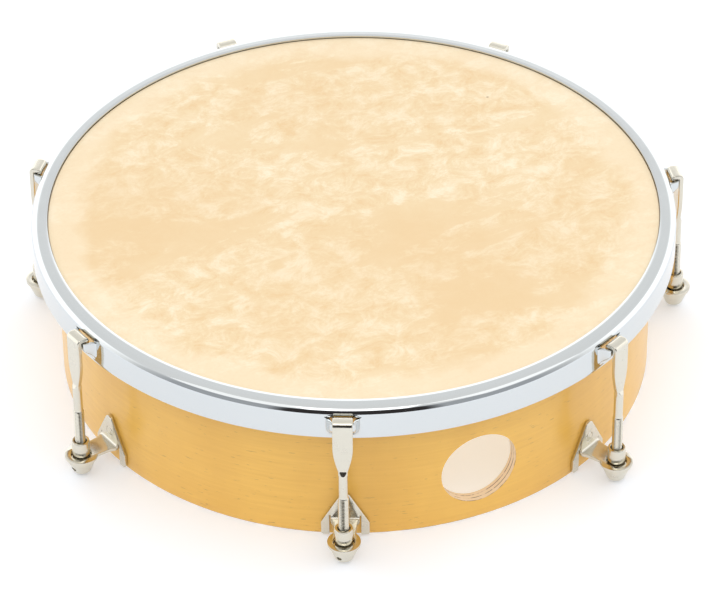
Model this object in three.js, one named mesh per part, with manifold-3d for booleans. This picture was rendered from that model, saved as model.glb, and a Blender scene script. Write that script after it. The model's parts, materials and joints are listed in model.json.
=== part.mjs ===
// A tunable hand drum: a natural skin on a bent wooden shell, drawn down by a chromed
// counterhoop, seven claw hooks and seven tension nuts.
// Lengths are millimetres. The origin is the centre of the playing face, with +Z up out
// of it. Heights in this file count up from the shell's bottom edge, and the finished
// group is lowered so that the playing face lands on the origin.
// Every lug is modelled at the front, where outward is -Y, and then turned to its place.
import * as THREE from 'three';
import { mergeVertices } from 'three/addons/utils/BufferGeometryUtils.js';
import Module from 'manifold-3d';

// Clearances
const SEAT_GAP = 0.3; // left between pieces that touch
const JOIN_OVERLAP = 0.5; // how far the parts of one piece reach into each other
const CUT_MARGIN = 2; // how far a cutter runs past what it cuts

// Facets of round forms
const RING_FACETS = 70;
const SOUND_HOLE_FACETS = 40;
const NUT_FACETS = 14;
const ROD_FACETS = 10;
const RING_HOLE_FACETS = 16;
const SMALL_FACETS = 10;

// Lugs
const LUG_COUNT = 7;

// Shell, a ring of bent ply
const SHELL_OUTER_RADIUS = 127;
const SHELL_WALL = 5.4;
const SHELL_HEIGHT = 72;
const SHELL_BOTTOM_CHAMFER = 0.8;
const BEARING_EDGE_CHAMFER = 1.5;
const SOUND_HOLE_RADIUS = 16.9;
const SOUND_HOLE_HEIGHT = 25.7;

// Skin, drawn over the bearing edge
const SKIN_THICKNESS = 0.8;
const SKIN_COLLAR_DEPTH = 4.4;
const SKIN_BEND_RADIUS = 1.2;

// Flesh hoop, with the skin's edge lapped round it
const FLESH_HOOP_WIDTH = 6.3;
const FLESH_HOOP_HEIGHT = 5.5;
const FLESH_HOOP_CHAMFER = 1;

// Counterhoop
const HOOP_SHEET = 1.5;
const FLANGE_RISE = 0.9; // the flange's top over the skin
const FLANGE_CLEARANCE = 2.1; // from the skin's collar to the flange's inner edge
const SKIRT_ROOM = 1; // between the flesh hoop and the skirt
const HOOP_DEPTH = 14.4;
const HOOP_CORNER_RADIUS = 3.2;

// Ears, pressed out of the skirt under a slit
const EAR_DROP = 4.2; // the ears' top edge under the flange's top
const EAR_SLIT = 0.4;
const EAR_SHEET = 1.2; // the pressing thins the sheet
const EAR_REACH = 4.7;
const EAR_SIDE_ROOM = 0.3; // from the hook's sides to the ear's flanks
const EAR_FLANK_WIDTH = 2.9;
const EAR_FLANK_STEPS = 3;
const EAR_SLOPE = 6.5; // height over which the ear sinks back into the skirt
const EAR_SLOPE_STEPS = 3;

// Tension hooks
const HOOK_SHEET = 2;
const HOOK_WIDTH = 8.3;
const HOOK_BEND_RADIUS = 2;
const HOOK_FLAT_LENGTH = 12.7;
const HOOK_SHOULDER_LENGTH = 12.3;
const HOOK_SHOULDER_STEPS = 4;
const CLAW_DEPTH = 2.3; // how far the claw reaches down behind the ear
const CLAW_TIP_ROOM = 0.3; // the ear stays upright this far below the claw
const CLAW_CORNER = 0.3;
const ROD_RADIUS = 1.95;
const ROD_TAPER_LENGTH = 2;
const ROD_TAPER_RADIUS = 0.8;
const THREAD_RADIUS = 2.25;
const THREAD_TOP_HEIGHT = 33.8;
const ROD_END_HEIGHT = 4;
const ROD_CHAMFER = 0.5;

// Tension nuts
const NUT_HEAD_RADIUS = 5.9;
const NUT_TIP_RADIUS = 3.8;
const NUT_HEAD_HEIGHT = 6.8;
const NUT_RIM_HEIGHT = 1.2; // the head's straight rim
const NUT_SLEEVE_RADIUS = 3.75;
const NUT_SLEEVE_RISE = 7.2; // the sleeve's top over the bracket's ring
const NUT_CHAMFER = 0.5;
const CROSS_HOLE_RADIUS = 1.1;

// Lug brackets, each cut and folded from one sheet
const BRACKET_SHEET = 1.5;
const PLATE_WIDTH = 20;
const PLATE_HEIGHT = 22;
const PLATE_BOTTOM_HEIGHT = 1;
const PLATE_SHOULDER = 6.6; // height of the plate's upright sides
const PLATE_APEX_RADIUS = 2.4;
const PLATE_APEX_STEPS = 4;
const TAB_HEIGHT = 8.5; // the tab's underside
const TAB_ROOT_WIDTH = 12;
const TAB_NECK_WIDTH = 9.4;
const TAB_NECK_REACH = 5; // the neck's distance from the plate
const TAB_RELIEF = 0.5; // the cut beside the tab's root
const FOLD_RADIUS = 1.2; // inside the fold
const FOLD_STEPS = 3;
const RING_HOLE_CLEARANCE = 0.7;
const RING_BAND = 2.5;

// Lug screws with a washer and a hex nut inside the shell
const SCREW_HEIGHT = 15;
const SCREW_RADIUS = 2;
const SCREW_END = 1; // how far the screw stands out of its nut
const SCREW_CHAMFER = 0.4;
const WASHER_RADIUS = 4.5;
const WASHER_THICKNESS = 0.9;
const HEX_NUT_WIDTH = 7; // across the flats
const HEX_NUT_THICKNESS = 3.2;

// Heights that follow
const skinUnderside = SHELL_HEIGHT + SEAT_GAP;
const skinTop = skinUnderside + SKIN_THICKNESS;
const flangeTop = skinTop + FLANGE_RISE;
const flangeUnderside = flangeTop - HOOP_SHEET;
const skirtBottom = flangeTop - HOOP_DEPTH;
const earTop = flangeTop - EAR_DROP;
const earUpright = CLAW_DEPTH + CLAW_TIP_ROOM;
const earHeight = earTop - skirtBottom;
const hookTop = earTop + SEAT_GAP + HOOK_SHEET;
const tabTop = TAB_HEIGHT + BRACKET_SHEET;
const nutHeadTop = TAB_HEIGHT - SEAT_GAP;
const nutBottom = nutHeadTop - NUT_HEAD_HEIGHT;
const sleeveTop = tabTop + NUT_SLEEVE_RISE;

// Radii that follow, counted from the drum's axis
const facetShare = Math.cos(Math.PI / RING_FACETS); // a facet's middle over its corner
const shellInnerRadius = SHELL_OUTER_RADIUS - SHELL_WALL;
const collarInnerRadius = SHELL_OUTER_RADIUS + SEAT_GAP;
const collarOuterRadius = collarInnerRadius + SKIN_THICKNESS;
const fleshInnerRadius = collarOuterRadius + SEAT_GAP;
const fleshOuterRadius = fleshInnerRadius + FLESH_HOOP_WIDTH;
const flangeInnerRadius = collarOuterRadius + FLANGE_CLEARANCE;
const skirtInnerRadius = fleshOuterRadius + SKIRT_ROOM;
const skirtOuterRadius = skirtInnerRadius + HOOP_SHEET;
const skirtMiddleRadius = (skirtInnerRadius + skirtOuterRadius) / 2;
const earOuterRadius = skirtMiddleRadius + EAR_REACH + EAR_SHEET / 2;
const stripInnerRadius = earOuterRadius + SEAT_GAP;
const clawOuterRadius = earOuterRadius - EAR_SHEET - SEAT_GAP;
const rodDistance = stripInnerRadius + HOOK_SHEET / 2;
const plateInnerRadius = SHELL_OUTER_RADIUS * facetShare + SEAT_GAP;
const plateOuterRadius = plateInnerRadius + BRACKET_SHEET;
const ringHoleRadius = NUT_SLEEVE_RADIUS + RING_HOLE_CLEARANCE;
const ringOuterRadius = ringHoleRadius + RING_BAND;
const screwHoleRadius = SCREW_RADIUS + SEAT_GAP;
const washerOuterFace = shellInnerRadius * facetShare - SEAT_GAP;
const hexNutOuterFace = washerOuterFace - WASHER_THICKNESS - SEAT_GAP;
const hexNutInnerFace = hexNutOuterFace - HEX_NUT_THICKNESS;

// Half widths that follow
const earFrontHalf = HOOK_WIDTH / 2 + EAR_SIDE_ROOM;
const earBaseHalf = earFrontHalf + EAR_FLANK_WIDTH;

const lugAngles = Array.from({ length: LUG_COUNT }, (_, k) => ((k + 0.5) * 2 * Math.PI) / LUG_COUNT);

const wasm = await Module();
wasm.setup();

// The geometry as a solid that can be joined and cut.
function toSolid(geometry) {
  const bare = geometry.clone();
  bare.deleteAttribute('normal');
  bare.deleteAttribute('uv');
  const merged = mergeVertices(bare);
  return new wasm.Manifold(
    new wasm.Mesh({
      numProp: 3,
      vertProperties: merged.attributes.position.array,
      triVerts: new Uint32Array(merged.index.array),
    }),
  );
}

// A joined or cut solid as a geometry.
function toGeometry(solid) {
  const { vertProperties, triVerts } = solid.getMesh();
  const geometry = new THREE.BufferGeometry();
  geometry.setAttribute('position', new THREE.BufferAttribute(vertProperties, 3));
  geometry.setIndex(new THREE.BufferAttribute(triVerts, 1));
  geometry.computeVertexNormals();
  return geometry;
}

// Points [x, y] along an arc, both ends included.
function arc(centreX, centreY, radius, startDegrees, endDegrees, steps) {
  const points = [];
  for (let i = 0; i <= steps; i += 1) {
    const angle = THREE.MathUtils.degToRad(startDegrees + ((endDegrees - startDegrees) * i) / steps);
    points.push([centreX + radius * Math.cos(angle), centreY + radius * Math.sin(angle)]);
  }
  return points;
}

// Revolves an outline of [radius, height] points about +Z. The outline runs anticlockwise
// and starts and ends on the axis. Facets face the lugs and the sound hole squarely.
function revolve(outline, facets) {
  const points = outline.map(([radius, height]) => new THREE.Vector2(radius, height));
  const geometry = new THREE.LatheGeometry(points, facets, Math.PI / facets);
  return geometry.rotateX(Math.PI / 2);
}

// The same for a ring, whose outline closes on itself.
function revolveRing(outline, facets) {
  return revolve([...outline, outline[0]], facets);
}

function shapeOf(outline) {
  return new THREE.Shape(outline.map(([x, y]) => new THREE.Vector2(x, y)));
}

function circleHole(x, y, radius, facets) {
  const hole = new THREE.Path();
  for (let i = 0; i < facets; i += 1) {
    const angle = (2 * Math.PI * (i + 0.5)) / facets;
    const point = [x + radius * Math.cos(angle), y + radius * Math.sin(angle)];
    if (i === 0) hole.moveTo(...point);
    else hole.lineTo(...point);
  }
  hole.closePath();
  return hole;
}

function extrude(shape, depth) {
  return new THREE.ExtrudeGeometry(shape, { depth, bevelEnabled: false });
}

// Extrudes a front view of [x, height] points outwards from a distance to the axis.
function extrudeOutwards(shape, fromRadius, depth) {
  return extrude(shape, depth).rotateX(Math.PI / 2).translate(0, -fromRadius, 0);
}

// Extrudes a side view of [distance to the axis, height] points across a width.
function extrudeAcross(shape, width) {
  const geometry = extrude(shape, width).rotateX(Math.PI / 2).rotateZ(-Math.PI / 2);
  return geometry.translate(width / 2, 0, 0);
}

// A round bar along the radius, for holes through the shell.
function radialBar(radius, innerRadius, outerRadius, height, facets) {
  const bar = new THREE.CylinderGeometry(radius, radius, outerRadius - innerRadius, facets);
  return bar.translate(0, -(innerRadius + outerRadius) / 2, height);
}

function makeShell() {
  const outline = [
    [shellInnerRadius + SHELL_BOTTOM_CHAMFER, 0],
    [SHELL_OUTER_RADIUS - SHELL_BOTTOM_CHAMFER, 0],
    [SHELL_OUTER_RADIUS, SHELL_BOTTOM_CHAMFER],
    [SHELL_OUTER_RADIUS, SHELL_HEIGHT - BEARING_EDGE_CHAMFER],
    [SHELL_OUTER_RADIUS - BEARING_EDGE_CHAMFER, SHELL_HEIGHT],
    [shellInnerRadius, SHELL_HEIGHT],
    [shellInnerRadius, SHELL_BOTTOM_CHAMFER],
  ];
  const cutFrom = shellInnerRadius - CUT_MARGIN;
  const cutTo = SHELL_OUTER_RADIUS + CUT_MARGIN;
  let shell = toSolid(revolveRing(outline, RING_FACETS));
  const soundHole = radialBar(SOUND_HOLE_RADIUS, cutFrom, cutTo, SOUND_HOLE_HEIGHT, SOUND_HOLE_FACETS);
  shell = shell.subtract(toSolid(soundHole));
  for (const angle of lugAngles) {
    const hole = radialBar(screwHoleRadius, cutFrom, cutTo, SCREW_HEIGHT, SMALL_FACETS);
    shell = shell.subtract(toSolid(hole.rotateZ(angle)));
  }
  return toGeometry(shell);
}

function makeSkin() {
  const bendCentre = collarInnerRadius - SKIN_BEND_RADIUS;
  const bendHeight = skinUnderside - SKIN_BEND_RADIUS;
  const collarBottom = skinUnderside - SKIN_COLLAR_DEPTH;
  const outline = [
    [0, skinUnderside],
    ...arc(bendCentre, bendHeight, SKIN_BEND_RADIUS, 90, 0, 2),
    [collarInnerRadius, collarBottom],
    [collarOuterRadius, collarBottom],
    ...arc(bendCentre, bendHeight, SKIN_BEND_RADIUS + SKIN_THICKNESS, 0, 90, 2),
    [0, skinTop],
  ];
  return revolve(outline, RING_FACETS);
}

function makeFleshHoop() {
  const top = flangeUnderside - SEAT_GAP;
  const bottom = top - FLESH_HOOP_HEIGHT;
  const outline = [
    [fleshInnerRadius, bottom],
    [fleshOuterRadius - FLESH_HOOP_CHAMFER, bottom],
    [fleshOuterRadius, bottom + FLESH_HOOP_CHAMFER],
    [fleshOuterRadius, top - FLESH_HOOP_CHAMFER],
    [fleshOuterRadius - FLESH_HOOP_CHAMFER, top],
    [fleshInnerRadius, top],
  ];
  return revolveRing(outline, RING_FACETS);
}

// How far the ear stands out of the skirt, across its width and down from its top edge.
function earReach(across, down) {
  const inFromBase = earBaseHalf - Math.abs(across);
  const side = THREE.MathUtils.smoothstep(inFromBase, 0, EAR_FLANK_WIDTH);
  const sunk = THREE.MathUtils.smoothstep(down, earUpright, earUpright + EAR_SLOPE);
  return EAR_REACH * side * (1 - sunk);
}

// A point of the ear's middle surface in plan.
function earPoint(across, down) {
  const angle = across / skirtMiddleRadius;
  const radius = skirtMiddleRadius + earReach(across, down);
  return new THREE.Vector2(radius * Math.sin(angle), -radius * Math.cos(angle));
}

// Where the ear's grid has its columns: across the front, down both flanks and into the skirt.
function earColumns() {
  const right = [];
  for (let i = 0; i <= EAR_FLANK_STEPS; i += 1) {
    right.push(earFrontHalf + (EAR_FLANK_WIDTH * i) / EAR_FLANK_STEPS);
  }
  right.push(earBaseHalf + JOIN_OVERLAP);
  return [...right.map((across) => -across).reverse(), ...right];
}

// Where it has its rows: along the top, under the upright lip, down the slope and at the bottom.
function earRows() {
  const rows = [0];
  for (let i = 0; i <= EAR_SLOPE_STEPS; i += 1) rows.push(earUpright + (EAR_SLOPE * i) / EAR_SLOPE_STEPS);
  return [...rows, earHeight];
}

// One ear: a sheet that follows the skirt at its sides and bottom and stands out at the top.
// Each row is a loop of points, along the outer face and back along the inner one.
function makeEar() {
  const columns = earColumns();
  const rows = earRows();
  const loop = 2 * columns.length;
  const nudge = earBaseHalf / 100;
  const positions = [];
  for (const down of rows) {
    const outer = [];
    const inner = [];
    for (const across of columns) {
      const along = earPoint(across + nudge, down).sub(earPoint(across - nudge, down)).normalize();
      const halfSheet = new THREE.Vector2(along.y, -along.x).multiplyScalar(EAR_SHEET / 2);
      outer.push(earPoint(across, down).add(halfSheet));
      inner.unshift(earPoint(across, down).sub(halfSheet));
    }
    for (const point of [...outer, ...inner]) positions.push(point.x, point.y, earTop - down);
  }
  const faces = [];
  for (let row = 0; row < rows.length - 1; row += 1) {
    for (let i = 0; i < loop; i += 1) {
      const here = row * loop + i;
      const next = row * loop + ((i + 1) % loop);
      faces.push(here, here + loop, next, next, here + loop, next + loop);
    }
  }
  const last = (rows.length - 1) * loop;
  for (let i = 0; i < columns.length - 1; i += 1) {
    const back = loop - 1 - i;
    faces.push(i, i + 1, back, i + 1, back - 1, back);
    faces.push(last + i, last + back, last + i + 1, last + i + 1, last + back, last + back - 1);
  }
  const geometry = new THREE.BufferGeometry();
  geometry.setAttribute('position', new THREE.Float32BufferAttribute(positions, 3));
  geometry.setIndex(faces);
  return geometry;
}

function makeCounterhoop() {
  const cornerHeight = flangeTop - HOOP_CORNER_RADIUS;
  const cornerRadius = skirtOuterRadius - HOOP_CORNER_RADIUS;
  const outline = [
    [flangeInnerRadius, flangeUnderside],
    ...arc(cornerRadius, cornerHeight, HOOP_CORNER_RADIUS - HOOP_SHEET, 90, 0, 2),
    [skirtInnerRadius, skirtBottom],
    [skirtOuterRadius, skirtBottom],
    ...arc(cornerRadius, cornerHeight, HOOP_CORNER_RADIUS, 0, 90, 4),
    [flangeInnerRadius, flangeTop],
  ];
  const windowBottom = skirtBottom - CUT_MARGIN;
  const windowHeight = earTop + EAR_SLIT - windowBottom;
  const windowDepth = HOOP_SHEET + 2 * CUT_MARGIN;
  let hoop = toSolid(revolveRing(outline, RING_FACETS));
  for (const angle of lugAngles) {
    const cutter = new THREE.BoxGeometry(2 * earBaseHalf, windowDepth, windowHeight);
    cutter.translate(0, -skirtMiddleRadius, windowBottom + windowHeight / 2);
    hoop = hoop.subtract(toSolid(cutter.rotateZ(angle)));
    hoop = hoop.add(toSolid(makeEar().rotateZ(angle)));
  }
  return toGeometry(hoop);
}

// The hook from the side: up the strip, over the ear and down behind it.
function hookSideView(bottom) {
  const outer = stripInnerRadius + HOOK_SHEET;
  const clawInner = clawOuterRadius - HOOK_SHEET;
  const clawTip = earTop - CLAW_DEPTH;
  const throat = earTop + SEAT_GAP;
  const bendHeight = hookTop - HOOK_BEND_RADIUS;
  return [
    [stripInnerRadius, bottom],
    [outer, bottom],
    ...arc(outer - HOOK_BEND_RADIUS, bendHeight, HOOK_BEND_RADIUS, 0, 90, 3),
    ...arc(clawInner + HOOK_BEND_RADIUS, bendHeight, HOOK_BEND_RADIUS, 90, 180, 3),
    [clawInner, clawTip],
    [clawOuterRadius, clawTip],
    [clawOuterRadius, throat - CLAW_CORNER],
    [clawOuterRadius + CLAW_CORNER, throat],
    [stripInnerRadius - CLAW_CORNER, throat],
    [stripInnerRadius, throat - CLAW_CORNER],
  ];
}

// The hook from the front: a flat strip whose shoulders draw in to the rod.
function hookFrontView(shoulderTop, bottom) {
  const halfWidth = HOOK_WIDTH / 2;
  const endHalfWidth = ROD_RADIUS * Math.cos(Math.PI / ROD_FACETS);
  const side = [[halfWidth, hookTop + CUT_MARGIN]];
  for (let i = 0; i <= HOOK_SHOULDER_STEPS; i += 1) {
    const share = i / HOOK_SHOULDER_STEPS;
    const width = endHalfWidth + (halfWidth - endHalfWidth) * Math.cos((share * Math.PI) / 2);
    side.push([width, shoulderTop - (shoulderTop - bottom) * share]);
  }
  return [...side.map(([x, z]) => [-x, z]), ...side.reverse()];
}

function makeTensionHook() {
  const shoulderTop = hookTop - HOOK_FLAT_LENGTH;
  const shoulderBottom = shoulderTop - HOOK_SHOULDER_LENGTH;
  const side = extrudeAcross(shapeOf(hookSideView(shoulderBottom)), HOOK_WIDTH + 2 * CUT_MARGIN);
  const frontDepth = 2 * HOOK_SHEET + EAR_SHEET + 2 * SEAT_GAP + 2 * CUT_MARGIN;
  const front = extrudeOutwards(
    shapeOf(hookFrontView(shoulderTop, shoulderBottom)),
    clawOuterRadius - HOOK_SHEET - CUT_MARGIN,
    frontDepth,
  );
  const strip = toSolid(side).intersect(toSolid(front));
  const rodOutline = [
    [0, ROD_END_HEIGHT],
    [THREAD_RADIUS - ROD_CHAMFER, ROD_END_HEIGHT],
    [THREAD_RADIUS, ROD_END_HEIGHT + ROD_CHAMFER],
    [THREAD_RADIUS, THREAD_TOP_HEIGHT - ROD_CHAMFER],
    [ROD_RADIUS, THREAD_TOP_HEIGHT],
    [ROD_RADIUS, shoulderBottom + JOIN_OVERLAP],
    [ROD_TAPER_RADIUS, shoulderBottom + JOIN_OVERLAP + ROD_TAPER_LENGTH],
    [0, shoulderBottom + JOIN_OVERLAP + ROD_TAPER_LENGTH],
  ];
  const rod = revolve(rodOutline, ROD_FACETS).translate(0, -rodDistance, 0);
  return toGeometry(strip.add(toSolid(rod)));
}

function makeTensionNut() {
  const boreRadius = THREAD_RADIUS + SEAT_GAP;
  const outline = [
    [boreRadius, nutBottom],
    [NUT_TIP_RADIUS - NUT_CHAMFER, nutBottom],
    [NUT_TIP_RADIUS, nutBottom + NUT_CHAMFER],
    [NUT_HEAD_RADIUS, nutHeadTop - NUT_RIM_HEIGHT],
    [NUT_HEAD_RADIUS, nutHeadTop],
    [NUT_SLEEVE_RADIUS, nutHeadTop],
    [NUT_SLEEVE_RADIUS, sleeveTop - NUT_CHAMFER],
    [NUT_SLEEVE_RADIUS - NUT_CHAMFER, sleeveTop],
    [boreRadius, sleeveTop],
  ];
  const crossHole = new THREE.CylinderGeometry(
    CROSS_HOLE_RADIUS,
    CROSS_HOLE_RADIUS,
    2 * (NUT_HEAD_RADIUS + CUT_MARGIN),
    SMALL_FACETS - 2,
  );
  crossHole.translate(0, 0, (nutBottom + nutHeadTop - NUT_RIM_HEIGHT) / 2);
  const nut = toSolid(revolveRing(outline, NUT_FACETS)).subtract(toSolid(crossHole));
  return toGeometry(nut).translate(0, -rodDistance, 0);
}

// The plate from the front: a house with a rounded ridge, cut out where the tab folds away.
function plateShape() {
  const halfWidth = PLATE_WIDTH / 2;
  const shoulder = PLATE_BOTTOM_HEIGHT + PLATE_SHOULDER;
  const top = PLATE_BOTTOM_HEIGHT + PLATE_HEIGHT;
  const apexHeight = top - PLATE_APEX_RADIUS;
  const toApex = new THREE.Vector2(-halfWidth, apexHeight - shoulder);
  const tangent = Math.asin(PLATE_APEX_RADIUS / toApex.length());
  const slope = THREE.MathUtils.radToDeg(toApex.angle() - Math.PI / 2 - tangent);
  const notchHalfWidth = TAB_ROOT_WIDTH / 2 + TAB_RELIEF;
  const notchTop = TAB_HEIGHT + TAB_RELIEF;
  return shapeOf([
    [notchHalfWidth, PLATE_BOTTOM_HEIGHT],
    [halfWidth, PLATE_BOTTOM_HEIGHT],
    [halfWidth, shoulder],
    ...arc(0, apexHeight, PLATE_APEX_RADIUS, slope, 180 - slope, PLATE_APEX_STEPS),
    [-halfWidth, shoulder],
    [-halfWidth, PLATE_BOTTOM_HEIGHT],
    [-notchHalfWidth, PLATE_BOTTOM_HEIGHT],
    [-notchHalfWidth, notchTop],
    [notchHalfWidth, notchTop],
  ]);
}

// The fold and the first stretch of the tab from the side.
function foldShape() {
  const centreX = plateOuterRadius + FOLD_RADIUS;
  const centreY = tabTop + FOLD_RADIUS;
  const tabEnd = plateOuterRadius + TAB_NECK_REACH;
  return shapeOf([
    ...arc(centreX, centreY, FOLD_RADIUS + BRACKET_SHEET, 180, 270, FOLD_STEPS),
    [tabEnd, TAB_HEIGHT],
    [tabEnd, tabTop],
    ...arc(centreX, centreY, FOLD_RADIUS, 270, 180, FOLD_STEPS),
  ]);
}

// The tab in plan: wide at the fold, drawn in to a neck and opened out to the ring.
function tabShape() {
  const root = -plateInnerRadius;
  const foldEnd = -(plateOuterRadius + FOLD_RADIUS);
  const neck = -(plateOuterRadius + TAB_NECK_REACH);
  const neckHalf = TAB_NECK_WIDTH / 2;
  const meet = THREE.MathUtils.radToDeg(Math.acos(neckHalf / ringOuterRadius));
  const shape = shapeOf([
    [TAB_ROOT_WIDTH / 2, root],
    [-TAB_ROOT_WIDTH / 2, root],
    [-TAB_ROOT_WIDTH / 2, foldEnd],
    [-(neckHalf + (TAB_ROOT_WIDTH / 2 - neckHalf) / 3), (foldEnd + neck) / 2],
    [-neckHalf, neck],
    ...arc(0, -rodDistance, ringOuterRadius, 180 - meet, 360 + meet, RING_HOLE_FACETS),
    [neckHalf, neck],
    [neckHalf + (TAB_ROOT_WIDTH / 2 - neckHalf) / 3, (foldEnd + neck) / 2],
    [TAB_ROOT_WIDTH / 2, foldEnd],
  ]);
  shape.holes.push(circleHole(0, -rodDistance, ringHoleRadius, RING_HOLE_FACETS));
  return shape;
}

function makeLugBracket() {
  const plateFront = plateShape();
  plateFront.holes.push(circleHole(0, SCREW_HEIGHT, screwHoleRadius, SMALL_FACETS));
  const plate = toSolid(extrudeOutwards(plateFront, plateInnerRadius, BRACKET_SHEET));
  const blankHeight = tabTop + FOLD_RADIUS + BRACKET_SHEET - TAB_HEIGHT;
  const tabBlank = toSolid(extrude(tabShape(), blankHeight).translate(0, 0, TAB_HEIGHT));
  const foldLength = rodDistance + ringOuterRadius;
  const fold = toSolid(extrudeAcross(foldShape(), TAB_ROOT_WIDTH)).intersect(tabBlank);
  const flatStart = plateOuterRadius + FOLD_RADIUS;
  const flatLength = foldLength - flatStart + CUT_MARGIN;
  const flatBox = new THREE.BoxGeometry(TAB_ROOT_WIDTH + CUT_MARGIN, flatLength, BRACKET_SHEET);
  flatBox.translate(0, -(flatStart + flatLength / 2), TAB_HEIGHT + BRACKET_SHEET / 2);
  const flat = toSolid(flatBox).intersect(tabBlank);
  return toGeometry(plate.add(fold).add(flat));
}

// A headless screw that stands flush in the plate and carries its nut inside the shell.
function makeLugScrew() {
  const end = hexNutInnerFace - SCREW_END;
  const outline = [
    [0, end],
    [SCREW_RADIUS - SCREW_CHAMFER, end],
    [SCREW_RADIUS, end + SCREW_CHAMFER],
    [SCREW_RADIUS, plateOuterRadius],
    [0, plateOuterRadius],
  ];
  return revolve(outline, SMALL_FACETS).rotateX(Math.PI / 2).translate(0, 0, SCREW_HEIGHT);
}

function makeWasher() {
  const shape = new THREE.Shape(circleHole(0, SCREW_HEIGHT, WASHER_RADIUS, SMALL_FACETS + 2).getPoints());
  shape.holes.push(circleHole(0, SCREW_HEIGHT, screwHoleRadius, SMALL_FACETS));
  return extrudeOutwards(shape, washerOuterFace - WASHER_THICKNESS, WASHER_THICKNESS);
}

function makeHexNut() {
  const cornerRadius = HEX_NUT_WIDTH / Math.sqrt(3);
  const shape = new THREE.Shape(circleHole(0, SCREW_HEIGHT, cornerRadius, 6).getPoints());
  shape.holes.push(circleHole(0, SCREW_HEIGHT, screwHoleRadius, SMALL_FACETS));
  return extrudeOutwards(shape, hexNutInnerFace, HEX_NUT_THICKNESS);
}

const finishes = {
  wood: { color: 0xe0ae5c, roughness: 0.38, metalness: 0 },
  skin: { color: 0xf6e4bf, roughness: 0.62, metalness: 0 },
  hoopWood: { color: 0xcfa973, roughness: 0.6, metalness: 0 },
  chrome: { color: 0xd8dcde, roughness: 0.08, metalness: 1 },
  nickel: { color: 0xd6d0c2, roughness: 0.24, metalness: 1 },
  zinc: { color: 0xb9bcbe, roughness: 0.42, metalness: 1 },
};

function makeMesh(name, geometry, finish) {
  const mesh = new THREE.Mesh(geometry, new THREE.MeshStandardMaterial(finish));
  mesh.name = name;
  return mesh;
}

const lowered = new THREE.Group();
lowered.position.z = -skinTop;
lowered.add(makeMesh('shell', makeShell(), finishes.wood));
lowered.add(makeMesh('skin', makeSkin(), finishes.skin));
lowered.add(makeMesh('flesh_hoop', makeFleshHoop(), finishes.hoopWood));
lowered.add(makeMesh('counterhoop', makeCounterhoop(), finishes.chrome));

const lugPieces = [
  ['tension_hook', makeTensionHook(), finishes.nickel],
  ['tension_nut', makeTensionNut(), finishes.nickel],
  ['lug_bracket', makeLugBracket(), finishes.nickel],
  ['lug_screw', makeLugScrew(), finishes.nickel],
  ['lug_washer', makeWasher(), finishes.zinc],
  ['lug_hex_nut', makeHexNut(), finishes.zinc],
];
lugAngles.forEach((angle, k) => {
  const lug = new THREE.Group();
  lug.rotation.z = angle;
  for (const [name, geometry, finish] of lugPieces) lug.add(makeMesh(`${name}_${k + 1}`, geometry, finish));
  lowered.add(lug);
});

const drum = new THREE.Group();
drum.add(lowered);

export default drum;
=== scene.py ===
"""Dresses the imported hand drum: each piece is modelled afresh round its solid and finished, on a stage."""

import json
import math

import bmesh
import bpy
from bpy.props import FloatProperty, FloatVectorProperty, IntProperty, PointerProperty
from bpy.types import Operator, Panel, PropertyGroup
from mathutils import Matrix, Vector, noise


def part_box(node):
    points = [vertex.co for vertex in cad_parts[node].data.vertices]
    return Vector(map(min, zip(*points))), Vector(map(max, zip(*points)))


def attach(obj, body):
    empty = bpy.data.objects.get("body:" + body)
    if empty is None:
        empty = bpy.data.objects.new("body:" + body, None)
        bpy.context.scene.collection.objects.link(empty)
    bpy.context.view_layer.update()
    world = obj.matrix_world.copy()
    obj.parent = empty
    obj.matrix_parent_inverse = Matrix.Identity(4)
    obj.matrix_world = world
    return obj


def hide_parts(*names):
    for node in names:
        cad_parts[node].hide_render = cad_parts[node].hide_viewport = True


bl_info = {
    "name": "Hand Drum",
    "version": (1, 0, 0),
    "blender": (4, 5, 0),
    "location": "View3D > Sidebar > Hand Drum",
    "description": "Models a tunable frame drum with a natural skin, piece by piece",
    "category": "Add Mesh",
}

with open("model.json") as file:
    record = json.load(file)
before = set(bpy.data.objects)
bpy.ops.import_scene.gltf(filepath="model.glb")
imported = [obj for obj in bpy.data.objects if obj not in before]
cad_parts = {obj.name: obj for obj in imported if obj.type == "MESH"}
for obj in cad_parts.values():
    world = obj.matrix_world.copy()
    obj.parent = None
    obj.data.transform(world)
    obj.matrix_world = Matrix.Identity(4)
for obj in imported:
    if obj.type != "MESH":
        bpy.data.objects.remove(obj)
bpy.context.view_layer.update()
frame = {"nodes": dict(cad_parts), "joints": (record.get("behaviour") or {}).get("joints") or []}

MM = 0.001
SMOOTH_ANGLE = math.radians(38)
ORIGIN = (0.0, 0.0, 0.0)
UP = (0.0, 0.0, 1.0)


def display_colour(red, green, blue):
    """A colour as it looks on a screen, 0 to 255, as the linear colour that a shader takes."""
    shares = (red / 255, green / 255, blue / 255)
    return tuple(c / 12.92 if c <= 0.04045 else ((c + 0.055) / 1.055) ** 2.4 for c in shares)


def ring_of(node):
    """The inner radius, outer radius, lowest and highest level of a CAD node round the drum's axis."""
    radii = [math.hypot(v.co.x, v.co.y) for v in frame["nodes"][node].data.vertices]
    low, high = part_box(node)
    return min(radii), max(radii), low.z, high.z


def rod_axes():
    """Each lug's number, its angle round the drum from the front and its rod's distance from the axis."""
    axes = []
    for joint in frame["joints"]:
        if joint["name"].startswith("nut_turn_"):
            x, y, _ = joint["pos_m"]
            axes.append((int(joint["name"].rsplit("_", 1)[1]), math.atan2(x, -y), math.hypot(x, y)))
    return sorted(axes)


LUGS = rod_axes()
ROD_RADIUS_FROM_AXIS = LUGS[0][2]
SQUARE_LUG = 4  # this lug stands squarely behind the drum, so its boxes give its sizes

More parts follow.
